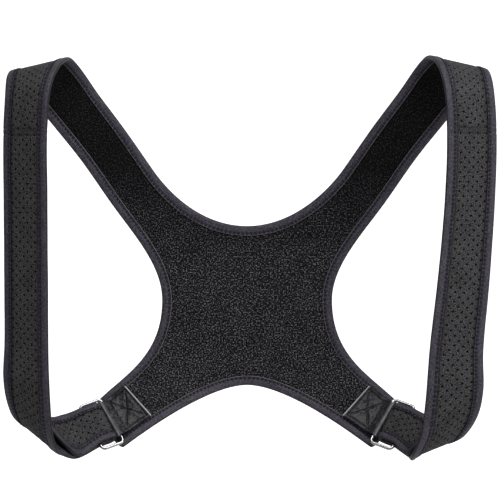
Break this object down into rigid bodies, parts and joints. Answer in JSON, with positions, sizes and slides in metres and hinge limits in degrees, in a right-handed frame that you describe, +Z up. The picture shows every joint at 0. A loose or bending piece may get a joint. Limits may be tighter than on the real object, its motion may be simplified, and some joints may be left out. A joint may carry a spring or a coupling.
{
  "type": "posture corrector",
  "caption": "Upper-back posture corrector in its worn form: X-shaped padded back panel with shoulder straps that turn back under the arms through metal rings.",
  "frame": {"origin": "midway between the places where the two arms of the pad sit on the shoulders, at the underside of the arms", "axes": "+X to the right as seen from the wearer's front, +Y towards the wearer's back, where the pad is, +Z up"},
  "size_m": [0.4716, 0.1525, 0.3969],
  "materials": {
    "shell": "perforated foam with a knitted face",
    "lining": "brushed",
    "tape": "woven binding tape",
    "leather": "glossy artificial leather",
    "steel": "nickel-plated wire"
  },
  "bodies": {
    "root": {"pad_shell": "shell", "pad_lining": "lining", "neckline_binding": "tape", "hem_binding": "tape", "armhole_binding_left": "tape", "armhole_binding_right": "tape", "strap_left": "shell", "strap_right": "shell", "strap_binding_left": "tape", "strap_binding_right": "tape", "ring_left": "steel", "ring_right": "steel", "ring_tab_left": "leather", "ring_tab_right": "leather"}
  },
  "joints": []
}
